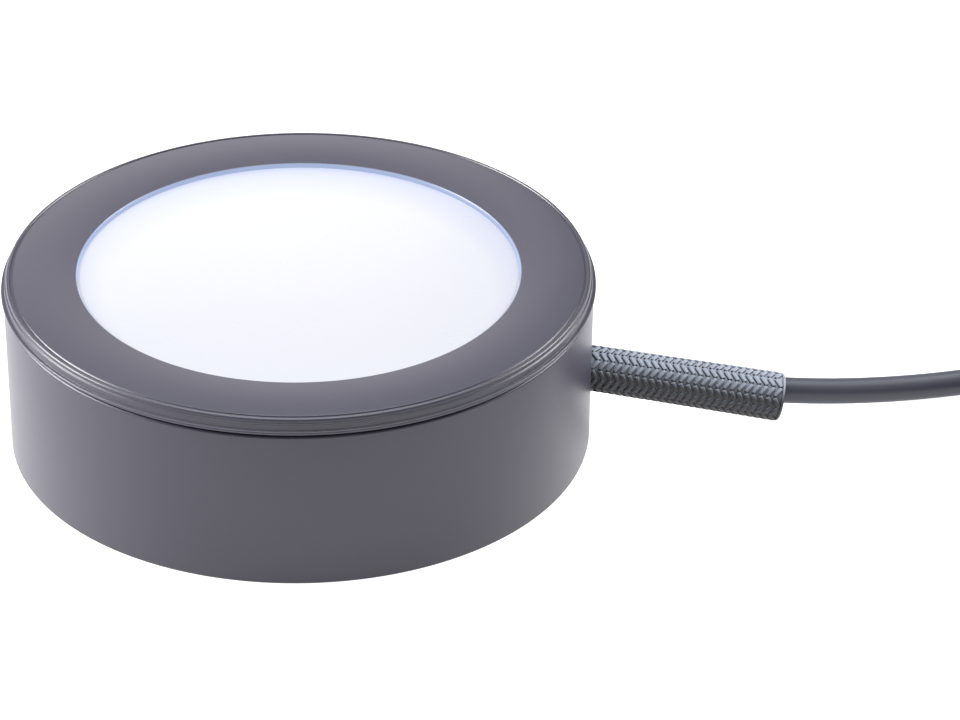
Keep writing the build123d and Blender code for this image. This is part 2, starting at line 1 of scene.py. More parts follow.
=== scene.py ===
# %% [markdown]
# # A low LED puck light and its lead
# The light is a round metal cup with a two-tier ring over an opal lens. A braided sleeve guards the
# lead where it leaves the wall. The imported model gives every size and place, so it is loaded first.

# %% Load the frame
import json
import math

import bmesh
import bpy
from mathutils import Matrix, Vector


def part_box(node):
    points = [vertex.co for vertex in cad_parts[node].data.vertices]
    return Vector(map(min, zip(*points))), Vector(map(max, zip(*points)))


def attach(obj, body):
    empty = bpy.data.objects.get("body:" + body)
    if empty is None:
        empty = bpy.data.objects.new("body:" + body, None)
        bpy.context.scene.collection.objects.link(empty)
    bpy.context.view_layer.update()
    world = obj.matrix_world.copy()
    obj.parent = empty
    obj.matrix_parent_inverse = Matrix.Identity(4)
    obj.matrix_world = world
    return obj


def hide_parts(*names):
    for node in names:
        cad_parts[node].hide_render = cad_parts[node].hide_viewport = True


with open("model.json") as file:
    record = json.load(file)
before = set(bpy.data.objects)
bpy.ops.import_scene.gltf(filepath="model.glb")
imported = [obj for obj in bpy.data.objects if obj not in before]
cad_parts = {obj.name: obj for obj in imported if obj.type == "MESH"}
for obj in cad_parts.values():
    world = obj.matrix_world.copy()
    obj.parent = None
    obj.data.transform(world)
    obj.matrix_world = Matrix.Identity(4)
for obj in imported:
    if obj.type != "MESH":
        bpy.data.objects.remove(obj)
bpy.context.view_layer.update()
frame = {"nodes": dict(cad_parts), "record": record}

# %% [markdown]
# ## Camera
# The light was seen from a little over half a metre with a long lens, from about 30 degrees above the
# table. A long lens keeps the two rims of the ring nearly the same ellipse. The turn about the view
# axis is small, yet it decides whether the ring's left and right ends lie level.

# %% Set up the camera
camera_place = (0.0, -0.512696, 0.310852)
camera_yaw = math.radians(2.39)
camera_pitch = math.radians(30.469)
camera_roll = math.radians(0.405)
camera_lens = 187.5

camera_data = bpy.data.cameras.new("view_camera")
camera_data.sensor_width = 36.0
camera_data.lens = camera_lens
camera_data.clip_start = 0.01
camera = bpy.data.objects.new("view_camera", camera_data)
turn = Matrix.Rotation(-camera_yaw, 4, "Z") @ Matrix.Rotation(math.pi / 2 - camera_pitch, 4, "X")
camera.matrix_world = Matrix.Translation(camera_place) @ turn @ Matrix.Rotation(camera_roll, 4, "Z")
bpy.context.scene.collection.objects.link(camera)
bpy.context.scene.camera = camera
print("camera at", [round(c, 3) for c in camera.matrix_world.translation])

# %% [markdown]
# ## Lead
# The lead is one round cord about 1.8 m long. It leaves the sleeve, touches the table and goes on to
# a tied coil, out of the picture, with the plug laid on top. A NURBS curve of order 3 makes a line
# without kinks from few points, and the curve's own bevel gives the cord its round section. The
# bevel has unit depth and each point's radius is the cord's, which keeps the curve's box true. The
# coil is wound in rows and layers, so a loop places its points: each turn keeps its row for three
# quarters of the way round and moves to the next row or layer over the last quarter.

# %% Lay the lead
mm = 0.001
lead_radius = 1.575 * mm
lead_route = [
    (0.0254, 0.0, 0.0078),
    (0.03405, 0.0, 0.0078),
    (0.0475, 0.0, 0.0052),
    (0.060, 0.0006, 0.00355),
    (0.0715, 0.0031, 0.00215),
    (0.083, 0.0061, 0.0016),
    (0.0935, 0.0089, 0.0018),
    (0.1035, 0.0108, 0.0020),
]
coil_centre = Vector((0.107459, -0.011654, 0.0))
coil_rows = [22.8 * mm, 19.6 * mm, 16.4 * mm, 13.2 * mm]
coil_layers = [2.0 * mm, 5.2 * mm, 8.4 * mm, 11.6 * mm]
coil_turns = 15
coil_start_deg = 100.0
coil_last_turn_deg = 244.0
points_per_turn = 16
tail_step_deg = 28.0
tail_heights = [11.6 * mm, 12.2 * mm, 14.0 * mm, 16.2 * mm, 17.95 * mm]
plug_start = Vector((0.111959, 0.007946, 0.01795))


def on_coil(angle_deg, radius, height):
    """A point beside the coil's centre, at an angle, a radius and a height."""
    angle = math.radians(angle_deg)
    return coil_centre + Vector((radius * math.cos(angle), radius * math.sin(angle), height))


turns = []
for layer, height in enumerate(coil_layers):
    rows = coil_rows if layer % 2 == 0 else coil_rows[::-1]
    turns += [(row, height) for row in rows]
turns = turns[:coil_turns]

step_deg = 360.0 / points_per_turn
outside_line = 1 / math.cos(math.radians(step_deg / 2))
coil_points = []
for number, (row, height) in enumerate(turns):
    last = number == len(turns) - 1
    next_row, next_height = turns[number] if last else turns[number + 1]
    for step in range(points_per_turn):
        if last and step * step_deg >= coil_last_turn_deg - step_deg / 2:
            break
        share = max(0.0, step / points_per_turn - 0.75) * 4
        radius = row + (next_row - row) * share
        level = height + (next_height - height) * share
        if number or step:
            coil_points.append(on_coil(coil_start_deg - step * step_deg, radius * outside_line, level))

tail_radius = 19.6 * mm / math.cos(math.radians(tail_step_deg / 2))
tail_start_deg = coil_start_deg - coil_last_turn_deg
tail_points = [
    on_coil(tail_start_deg - i * tail_step_deg, tail_radius, height) for i, height in enumerate(tail_heights)
]
tail_points.append(plug_start)

lead_curve = bpy.data.curves.new("lead", "CURVE")
lead_curve.dimensions = "3D"
lead_spline = lead_curve.splines.new("NURBS")
lead_points = [Vector(point) for point in lead_route] + coil_points + tail_points
lead_spline.points.add(len(lead_points) - 1)
for slot, point in zip(lead_spline.points, lead_points):
    slot.co = (*point, 1.0)
    slot.radius = lead_radius
lead_spline.order_u = 3
lead_spline.use_endpoint_u = True
lead_spline.resolution_u = 6
lead_curve.bevel_depth = 1.0
lead_curve.bevel_resolution = 6
lead_curve.use_fill_caps = True
lead = bpy.data.objects.new("lead", lead_curve)
bpy.context.scene.collection.objects.link(lead)
lead_line = [a - b for a, b in zip(lead_points[1:], lead_points)]
print("lead:", len(lead_points), "points,", round(sum(run.length for run in lead_line), 3), "m of runs")

# %% [markdown]
# ## Table and light
# The light stands on a plain white table under wide, soft lamps. Satin paint shows its lamps as
# slow changes of tone: a large lamp overhead lights the flat ring, and the wall is darker in the
# middle and pale at both sides, where it mirrors the white table at a shallow angle. The table
# glows by itself, so it stays pure white and shows no shadow.

# %% Set the table and the lamps
scene = bpy.context.scene
scene.view_settings.view_transform = "Standard"
world = bpy.data.worlds.new("white_room")
world.use_nodes = True
world.node_tree.nodes["Background"].inputs["Color"].default_value = (0.95, 0.96, 1.0, 1.0)
world.node_tree.nodes["Background"].inputs["Strength"].default_value = 0.28
scene.world = world


def add_lamp(name, place, size, power, colour=(1.0, 1.0, 1.0), target=(0.0, 0.0, 0.01)):
    """A square soft lamp that faces the light."""
    data = bpy.data.lights.new(name, "AREA")
    data.color = colour
    data.shape = "SQUARE"
    data.size = size
    data.energy = power
    lamp = bpy.data.objects.new(name, data)
    away = Vector(place) - Vector(target)
    lamp.matrix_world = Matrix.Translation(place) @ away.to_track_quat("Z", "Y").to_matrix().to_4x4()
    scene.collection.objects.link(lamp)


add_lamp("overhead_lamp", (0.0, 0.2, 0.9), 0.8, 9.5, colour=(0.93, 0.97, 1.0))
add_lamp("left_lamp", (-0.6, 0.1, 0.3), 0.4, 11.0)
add_lamp("right_lamp", (0.6, 0.2, 0.35), 0.35, 5.6)
add_lamp("back_lamp", (-0.05, 0.55, 0.2), 0.25, 0.26)

table_shape = bmesh.new()
bmesh.ops.create_grid(table_shape, x_segments=1, y_segments=1, size=3.0)
table_mesh = bpy.data.meshes.new("table")
table_shape.to_mesh(table_mesh)
table_shape.free()
table = bpy.data.objects.new("table", table_mesh)
scene.collection.objects.link(table)
table_paint = bpy.data.materials.new("table_white")
table_paint.use_nodes = True
table_shader = table_paint.node_tree.nodes["Principled BSDF"]
table_shader.inputs["Base Color"].default_value = (0.35, 0.35, 0.35, 1.0)
table_shader.inputs["Roughness"].default_value = 0.8
table_shader.inputs["Specular IOR Level"].default_value = 0.1
table_shader.inputs["Emission Color"].default_value = (1.0, 1.0, 1.0, 1.0)
table_shader.inputs["Emission Strength"].default_value = 1.0
table_mesh.materials.append(table_paint)

# %% [markdown]
# ## Shaping helpers
# Most pieces of this light came off a lathe or out of a round mould, so one helper spins a section
# about Z and then rounds its rings with the bevel operator. The bevel's offset is the tangent
# length, which is the radius times the tangent of half the corner's turn, so a value given as a
# radius stays a radius at any corner.

# %% Spin a section and round its rings
turn_steps = 240


def run_of(a, b):
    """The direction from one corner of a section to another."""
    return Vector((b[0] - a[0], b[1] - a[1])).normalized()


def lathe(corners, steps=turn_steps, segments=4):
    """A body of revolution about Z from (radius, height, rounding) corners in millimetres."""
    shape = bmesh.new()
    open_section = corners[0][0] == 0 and corners[-1][0] == 0
    verts = [shape.verts.new((radius * mm, 0, height * mm)) for radius, height, _ in corners]
    edges = [shape.edges.new(pair) for pair in zip(verts, verts[1:])]
    if not open_section:
        edges.append(shape.edges.new((verts[-1], verts[0])))
    bmesh.ops.spin(
        shape, geom=verts + edges, axis=(0, 0, 1), cent=(0, 0, 0), angle=2 * math.pi, steps=steps,
        use_merge=True,
    )
    bmesh.ops.remove_doubles(shape, verts=shape.verts, dist=1e-7)
    bmesh.ops.recalc_face_normals(shape, faces=shape.faces)
    for i, (radius, height, rounding) in enumerate(corners):
        if rounding > 0:
            before, after = corners[i - 1], corners[(i + 1) % len(corners)]
            here = corners[i]
            bend = run_of(before, here).angle(run_of(here, after))
            round_ring(shape, radius * mm, height * mm, rounding * mm * math.tan(bend / 2), segments)
    return shape


def round_ring(shape, radius, height, offset, segments):
    """Bevels the ring of edges at a radius and height."""
    near = 2e-6
    ring = {v for v in shape.verts if abs(v.co.z - height) < near and abs(v.co.xy.length - radius) < near}
    edges = [e for e in shape.edges if e.verts[0] in ring and e.verts[1] in ring]
    bmesh.ops.bevel(
        shape, geom=edges, offset=offset, offset_type="OFFSET", segments=segments, profile=0.5,
        affect="EDGES", material=-1,
    )


print("a full turn takes", turn_steps, "steps")

# %% [markdown]
# A finished piece stays at the origin with its place in its mesh. It rides on a body and hides the
# nodes it stands for. Smooth shading with sharp edges past a set angle keeps round walls round and
# turned edges crisp.

# %% Finish a piece
def make_piece(name, shape, body, slot, replaced, sharp_deg=40.0):
    """An object from a bmesh, ready on its body."""
    mesh = bpy.data.meshes.new(name)
    shape.to_mesh(mesh)
    shape.free()
    mesh.shade_smooth()
    mesh.set_sharp_from_angle(angle=math.radians(sharp_deg))
    piece = bpy.data.objects.new(name, mesh)
    scene.collection.objects.link(piece)
    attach(piece, body)
    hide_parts(*replaced)
    print(f"{name}: {len(mesh.polygons)} faces")
    return piece


def merge_in(shape, tool, operation):
    """Joins a tool to a shape, or cuts it out, with an exact Boolean modifier that is then applied."""
    objects = []
    for name, source in (("work", shape), ("tool", tool)):
        mesh = bpy.data.meshes.new(name)
        source.to_mesh(mesh)
        source.free()
        objects.append(bpy.data.objects.new(name, mesh))
        scene.collection.objects.link(objects[-1])
    work, other = objects
    change = work.modifiers.new("change", "BOOLEAN")
    change.object = other
    change.operation = operation
    change.solver = "EXACT"
    bpy.context.view_layer.update()
    done = bpy.data.meshes.new_from_object(work.evaluated_get(bpy.context.evaluated_depsgraph_get()))
    result = bmesh.new()
    result.from_mesh(done)
    for used in objects:
        bpy.data.objects.remove(used)
    return result


def add_disc(shape, radius, bottom, top, x=0.0, y=0.0, sides=64):
    """Adds an upright cylinder, in millimetres."""
    place = Matrix.Translation((x * mm, y * mm, (bottom + top) / 2 * mm))
    bmesh.ops.create_cone(
        shape, cap_ends=True, segments=sides, radius1=radius * mm, radius2=radius * mm,
        depth=(top - bottom) * mm, matrix=place,
    )


def add_rod(shape, radius, start_x, end_x, z, sides=96):
    """Adds a cylinder along X, in millimetres."""
    place = Matrix.Translation(((start_x + end_x) / 2 * mm, 0, z * mm)) @ Matrix.Rotation(math.pi / 2, 4, "Y")
    bmesh.ops.create_cone(
        shape, cap_ends=True, segments=sides, radius1=radius * mm, radius2=radius * mm,
        depth=(end_x - start_x) * mm, matrix=place,
    )


def add_sector(shape, inner, outer, bottom, top, start_deg, span_deg, steps=12):
    """Adds a piece of a ring, in millimetres, spun from its end face."""
    corners = [(inner, bottom), (outer, bottom), (outer, top), (inner, top)]
    face = shape.faces.new([shape.verts.new((radius * mm, 0, height * mm)) for radius, height in corners])
    geom = [face, *face.edges, *face.verts]
    start = Matrix.Rotation(math.radians(start_deg), 3, "Z")
    bmesh.ops.rotate(shape, verts=face.verts, cent=(0, 0, 0), matrix=start)
    bmesh.ops.spin(
        shape, geom=geom, axis=(0, 0, 1), cent=(0, 0, 0), angle=math.radians(span_deg), steps=steps
    )


print("helpers ready:", make_piece.__name__, merge_in.__name__, add_disc.__name__, add_sector.__name__)

# %% [markdown]
# ## Ring
# The ring is turned aluminium in dark grey satin paint, in two tiers. The flat face runs nearly to
# the full width, with one shallow turned line before its rounded edge. Under the edge the side
# steps in to a narrow neck, runs down as an upright band and ends in a small lip, which stands over
# the seam to the cup. The section is a short list of corners, each with its own rounding. Small
# roundings matter here: the edge and the lip catch the lamps as two thin lines of light, and the
# upright band between them mirrors the table as quietly as the wall does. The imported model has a
# small cove in the band's place, and the two sections lie within 0.2 mm of each other. Inside, a
# skirt carries three lugs that turn under the cup's ledges, and three nibs that hold the lens's
# retaining ring.

# %% Turn the ring
ring_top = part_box("bezel")[1].z / mm
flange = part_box("bezel")[1].x / mm
skirt_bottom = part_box("bezel")[0].z / mm
ring_bottom = 20.05
aperture = 26.1
skirt_outer = 30.5
skirt_inner = 29.4
ring = lathe([
    (aperture, ring_bottom, 0.1),
    (aperture, ring_top, 0.18),
    (flange - 1.4, ring_top, 0.1),
    (flange - 1.3, ring_top - 0.16, 0.05),
    (flange - 1.12, ring_top - 0.16, 0.05),
    (flange - 1.02, ring_top, 0.1),
    (flange - 0.5, ring_top, 0.35),
    (flange - 0.62, ring_top - 0.5, 0.06),
    (flange - 0.42, ring_top - 0.62, 0.08),
    (flange - 0.38, ring_bottom + 0.42, 0.05),
    (flange, ring_bottom + 0.34, 0.14),
    (flange, ring_bottom, 0.12),
    (skirt_outer, ring_bottom, 0),
    (skirt_outer, skirt_bottom, 0.15),
    (skirt_inner, skirt_bottom, 0.15),
    (skirt_inner, ring_bottom, 0),
])
lock_starts = (62.0, 182.0, 302.0)
twist_span, lug_span, nib_span = 15.0, 12.0, 10.0
skirt_middle = (skirt_inner + skirt_outer) / 2
catches = bmesh.new()
for angle in lock_starts:
    add_sector(catches, skirt_middle, 32.2, skirt_bottom, skirt_bottom + 1.0, angle - lug_span / 2, lug_span)
    add_sector(catches, 28.9, skirt_middle, 16.7, 17.2, angle - nib_span / 2, nib_span)
bmesh.ops.recalc_face_normals(catches, faces=catches.faces)
ring = merge_in(ring, catches, "UNION")
bezel_ring = make_piece("bezel_ring", ring, "lens_ring", "bezel_metal", ["bezel"])

# %% [markdown]
# ## Cup
# The cup is cast and its wall has a slight draft: it widens by a quarter of a millimetre to the
# top. Its back is flat with a shallow round recess, so it stands on a wide ring. Spinning the
# whole section makes wall, floor and recess in one go. Three Boolean steps follow: posts, stops,
# the bush's boss and the lead's saddle are joined on, then the three ledges, and the holes are cut
# last. The stops leave the ring's lugs a turn of 15 degrees and a little air at both ends.

# %% Cast the cup
wall_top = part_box("housing")[1].z / mm
sleeve_height = 7.8
recess_radius, recess_depth = 24.0, 0.4
cavity_radius, cup_floor = 32.5, 1.8
cup = lathe([
    (0, recess_depth, 0),
    (recess_radius, recess_depth, 0.1),
    (recess_radius, 0.0, 0.15),
    (34.5, 0.0, 0.2),
    (34.75, wall_top, 0.3),
    (cavity_radius, wall_top, 0.1),
    (cavity_radius, cup_floor, 1.0),
    (0, cup_floor, 0),
])
stack_angles = (30.0, 150.0, 270.0)
stack_places = [(22.2 * math.cos(math.radians(a)), 22.2 * math.sin(math.radians(a))) for a in stack_angles]
driver_places = [(0.0, -15.8), (0.0, 15.8)]
clamp_x = 27.6
clamp_places = [(clamp_x, -5.2), (clamp_x, 5.2)]
mount_places = [(0.0, -29.0), (0.0, 29.0)]
post_foot = 1.1
stop_span, stop_gap = 2.5, 0.4
ledge_span, ledge_lead = 13.5, 7.0
catch_inner = 30.8

joined = bmesh.new()
for x, y in stack_places:
    add_disc(joined, 2.3, post_foot, 10.1, x, y)
for x, y in driver_places:
    add_disc(joined, 2.2, post_foot, 4.2, x, y)
for x, y in clamp_places:
    add_disc(joined, 1.9, post_foot, 8.4, x, y)
add_rod(joined, 5.0, 30.9, 33.5, sleeve_height)
for angle in lock_starts:
    before_lug = angle - lug_span / 2 - stop_gap - stop_span
    after_lug = angle + twist_span + lug_span / 2 + stop_gap
    for stop in (before_lug, after_lug):
        add_sector(joined, catch_inner, 33.5, 13.85, 16.5, stop, stop_span)
saddle_size = Matrix.Diagonal((3.0 * mm, 6.2 * mm, 6.7 * mm, 1))
saddle_place = Matrix.Translation((clamp_x * mm, 0, 4.45 * mm)) @ saddle_size
bmesh.ops.create_cube(joined, size=1.0, matrix=saddle_place)
bmesh.ops.recalc_face_normals(joined, faces=joined.faces)
cup = merge_in(cup, joined, "UNION")

ledges = bmesh.new()
for angle in lock_starts:
    add_sector(ledges, catch_inner, 33.4, 15.1, 16.45, angle - ledge_lead, ledge_span)
bmesh.ops.recalc_face_normals(ledges, faces=ledges.faces)
cup = merge_in(cup, ledges, "UNION")

pilot_radius, bolt_hole_radius = 1.05, 2.1
drilled = bmesh.new()
for x, y in stack_places:
    add_disc(drilled, pilot_radius, 5.6, 10.5, x, y)
for x, y in driver_places:
    add_disc(drilled, pilot_radius, 2.2, 4.6, x, y)
for x, y in clamp_places:
    add_disc(drilled, pilot_radius, 5.4, 8.8, x, y)
for x, y in mount_places:
    add_disc(drilled, bolt_hole_radius, -0.5, 2.6, x, y)
add_rod(drilled, 1.625, 25.0, 30.2, sleeve_height)
add_rod(drilled, 3.4, 30.0, 36.0, sleeve_height)
cup = merge_in(cup, drilled, "DIFFERENCE")
housing_cup = make_piece("housing_cup", cup, "base", "housing_metal", ["housing"])

# %% [markdown]
# ## Lens
# The opal lens is one moulded disc: a raised face fills the ring's opening a little below its top,
# and a wider flange underneath sits against a gasket. It is spun like the ring, and its face ends
# in a small radius.

# %% Mould the lens
lens_low, lens_high = (corner.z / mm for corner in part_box("lens"))
lens_flange, lens_face, flange_height = 29.1, 25.95, 1.2
lens = lathe([
    (0, lens_low, 0),
    (lens_flange, lens_low, 0.2),
    (lens_flange, lens_low + flange_height, 0.2),
    (lens_face, lens_low + flange_height, 0),
    (lens_face, lens_high, 0.25),
    (0, lens_high, 0),
])
opal_disc = make_piece("opal_disc", lens, "lens_ring", "opal_lens", ["lens"])

# %% [markdown]
# ## Sleeve
# The strain relief is a hose under a tight braid whose strands meet in a herringbone: rows of
# short slanting strands, each row leaning the other way from its neighbours. A flat texture would
# lose the notched outline that the braid gives the hose, so every strand is a small bevelled
# bar. The hose and its strands are built straight along X and drooped afterwards, by turning all
# that lies beyond the knee a little at a time.

# %% Make the hose and its strands
sleeve_inner_x = 29.8
knee_x = 34.05
hose_end_x = knee_x + 23.9
hose_bore = 1.855
hose_root = 2.49
hose_mouth = 2.69
mouth_bore, flare_length = 2.42, 9.5
droop = math.radians(11.0)
braid_columns = 14
braid_pitch = 0.89
strand_slant = math.radians(33.0)
strand_length, strand_width, strand_height = 1.32, 0.54, 0.46
strand_margin = 0.75


def hose_radius(x):
    """The hose's radius under the braid: level in the wall, then widening to the mouth."""
    share = max(0.0, x - knee_x) / (hose_end_x - knee_x)
    return hose_root + (hose_mouth - hose_root) * share


def along_x(shape, start_x):
    """Lays a shape that was spun about Z along X, from a start."""
    lay = Matrix.Translation((start_x * mm, 0, sleeve_height * mm)) @ Matrix.Rotation(math.pi / 2, 4, "Y")
    bmesh.ops.transform(shape, matrix=lay, verts=shape.verts)


sleeve_length = hose_end_x - sleeve_inner_x
knee = knee_x - sleeve_inner_x
rim_start = sleeve_length - 0.42
hose = lathe([
    (hose_bore, 0.0, 0),
    (hose_root, 0.0, 0.1),
    *[(hose_root, knee + along, 0) for along in (-1.0, -0.5, 0.0, 0.5, 1.0)],
    (hose_mouth, rim_start, 0),
    (hose_mouth + 0.19, rim_start + 0.08, 0.08),
    (hose_mouth + 0.2, sleeve_length, 0.3),
    (mouth_bore, sleeve_length, 0.2),
    (hose_bore, sleeve_length - flare_length, 0),
    *[(hose_bore, knee + along, 0) for along in (1.0, 0.0, -1.0)],
], steps=72)
along_x(hose, sleeve_inner_x)

strands = bmesh.new()
rows = int((hose_end_x - strand_margin - knee_x - strand_margin) / braid_pitch) + 1
for column in range(braid_columns):
    around = Matrix.Rotation(column * 2 * math.pi / braid_columns, 4, "X")
    lean = strand_slant if column % 2 else -strand_slant
    for row in range(rows):
        x = knee_x + strand_margin + row * braid_pitch
        out = Matrix.Translation((x * mm, 0, hose_radius(x) * mm))
        size = Matrix.Diagonal((strand_width * mm, strand_length * mm, strand_height * mm, 1.0))
        bmesh.ops.create_cube(strands, size=1.0, matrix=around @ out @ Matrix.Rotation(lean, 4, "Z") @ size)
bmesh.ops.bevel(
    strands, geom=list(strands.edges), offset=0.15 * mm, offset_type="OFFSET", segments=2, profile=0.5,
    affect="EDGES", material=-1,
)
bmesh.ops.translate(strands, vec=(0, 0, sleeve_height * mm), verts=strands.verts)
strand_mesh = bpy.data.meshes.new("strands")
strands.to_mesh(strand_mesh)
strands.free()
hose.from_mesh(strand_mesh)

bend_steps, bend_pitch = 4, 0.5
for i in reversed(range(bend_steps)):
    x = (knee_x - 0.75 + i * bend_pitch) * mm
    beyond = [v for v in hose.verts if v.co.x > x + 0.01 * mm]
    little = Matrix.Rotation(droop / bend_steps, 3, "Y")
    bmesh.ops.rotate(hose, verts=beyond, cent=(x, 0, sleeve_height * mm), matrix=little)
sleeve_braid = make_piece("sleeve_braid", hose, "base", "braid", ["braided_sleeve"], sharp_deg=50.0)

# %% [markdown]
# ## Bush
# A soft rubber bush fills the hole in the cup's wall, and the sleeve passes through it. It is set
# back a little from the wall's face, so it shows as a dark ring round the sleeve.

# %% Mould the bush
bush_bore, bush_flange, bush_neck = 2.85, 4.3, 3.35
bush = lathe([
    (bush_bore, 0.0, 0.1),
    (bush_flange, 0.0, 0.2),
    (bush_flange, 1.1, 0.1),
    (bush_neck, 1.1, 0),
    (bush_neck, 4.4, 0.2),
    (bush_bore, 4.4, 0.2),
], steps=96)
along_x(bush, sleeve_inner_x)
bush_ring = make_piece("bush_ring", bush, "base", "black_rubber", ["cord_bush"])

# %% [markdown]
# ## Tie
# A flat tie holds the coil. It bends round the wound cords like a belt, so its section follows the
# outermost cords: an arc round each corner cord and a straight run to the next. The band between two
# such outlines is spun through the tie's width about the coil's centre.

# %% Wrap the tie
tie_angle = math.radians(-65.0)
tie_width = 4.0 * mm
tie_reach = (1.63, 1.92)
corner_cords = [(13.2, 2.0), (22.8, 2.0), (22.8, 8.4), (19.6, 11.6), (13.2, 11.6)]


def belt_outline(shape, distance):
    """Verts of a closed line at a distance round the corner cords, in the XZ plane."""
    verts = []
    count = len(corner_cords)
    for i, (x, z) in enumerate(corner_cords):
        before, after = corner_cords[i - 1], corner_cords[(i + 1) % count]
        start = math.atan2(-(x - before[0]), z - before[1])
        end = math.atan2(-(after[0] - x), after[1] - z)
        sweep = (end - start) % (2 * math.pi)
        for step in range(7):
            angle = start + sweep * step / 6
            place = ((x + distance * math.cos(angle)) * mm, 0, (z + distance * math.sin(angle)) * mm)
            verts.append(shape.verts.new(place))
    edges = [shape.edges.new((a, b)) for a, b in zip(verts, verts[1:] + verts[:1])]
    return edges


band = bmesh.new()
loops = belt_outline(band, tie_reach[0]) + belt_outline(band, tie_reach[1])
bmesh.ops.bridge_loops(band, edges=loops)
tie_span = tie_width / (18.0 * mm)
bmesh.ops.spin(
    band, geom=list(band.faces) + list(band.edges) + list(band.verts), axis=(0, 0, 1), cent=(0, 0, 0),
    angle=tie_span, steps=6,
)
bmesh.ops.recalc_face_normals(band, faces=band.faces)
band_place = Matrix.Translation(coil_centre) @ Matrix.Rotation(tie_angle, 4, "Z")
bmesh.ops.transform(band, matrix=band_place, verts=band.verts)
tie_strap = make_piece("tie_strap", band, "base", "tie_plastic", ["coil_tie"])

# %% [markdown]
# ## Plug
# The low-voltage plug is a moulded grip with finger grooves and its own short strain relief. A
# nickel barrel stands out of its front round a black insulator, with the inner contact down the
# middle. All four pieces share one axis, so each is spun about Z and laid along X at the cord's end.

# %% Mould the plug and its contacts
relief_length, grip_length = 8.0, 14.0
grip_radius, groove_radius, seat_radius = 4.7, 4.35, 2.77
grip_end, seat_end = relief_length + grip_length, 19.0
grip = [(0, 0, 0), (2.3, 0, 0.3), (3.4, relief_length, 0), (grip_radius, relief_length, 1.0)]
for i in range(4):
    middle = relief_length + (i + 1.5) * grip_length / 6
    grip += [
        (grip_radius, middle - 0.45, 0.12),
        (groove_radius, middle - 0.40, 0.12),
        (groove_radius, middle + 0.40, 0.12),
        (grip_radius, middle + 0.45, 0.12),
    ]
grip += [
    (grip_radius, grip_end, 1.0), (seat_radius, grip_end, 0.15), (seat_radius, seat_end, 0), (0, seat_end, 0),
]
contacts = {
    "plug_shell": ("nickel", "plug_barrel", [
        (2.35, seat_end, 0), (2.75, seat_end, 0), (2.75, 31.5, 0.12), (2.35, 31.5, 0.12),
    ]),
    "plug_core": ("plug_plastic", "plug_insulator", [
        (1.42, seat_end, 0), (2.33, seat_end, 0), (2.33, 31.0, 0.12), (1.42, 31.0, 0.12),
    ]),
    "plug_contact": ("nickel", "plug_socket", [
        (1.05, seat_end, 0), (1.4, seat_end, 0), (1.4, 30.5, 0.1), (1.05, 30.5, 0.1),
    ]),
}
plug_lay = Matrix.Translation(plug_start) @ Matrix.Rotation(math.pi / 2, 4, "Y")


def laid_plug(corners):
    """A plug piece spun about Z and laid along X from the lead's end."""
    shape = lathe(corners, steps=96, segments=3)
    bmesh.ops.transform(shape, matrix=plug_lay, verts=shape.verts)
    return shape


plug_pieces = [make_piece("plug_grip", laid_plug(grip), "base", "plug_plastic", ["plug_body"])]
for name, (slot_name, node, corners) in contacts.items():
    plug_pieces.append(make_piece(name, laid_plug(corners), "base", slot_name, [node]))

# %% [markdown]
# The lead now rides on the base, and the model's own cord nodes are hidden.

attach(lead, "base")
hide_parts("power_cord", "cord_coil", "cord_tail")

# %% [markdown]
# ## Fine surface
# Paint, rubber and moulded plastic all have a grain too small to model: a fine waviness of the
# surface, and slow changes of tone and gloss. One node group holds that effect. It reads Object
# coordinates, so the pattern stays on a piece when it turns, and puts out a colour, a roughness and a
# height. Each material gives it its own colour, grain size and strength.

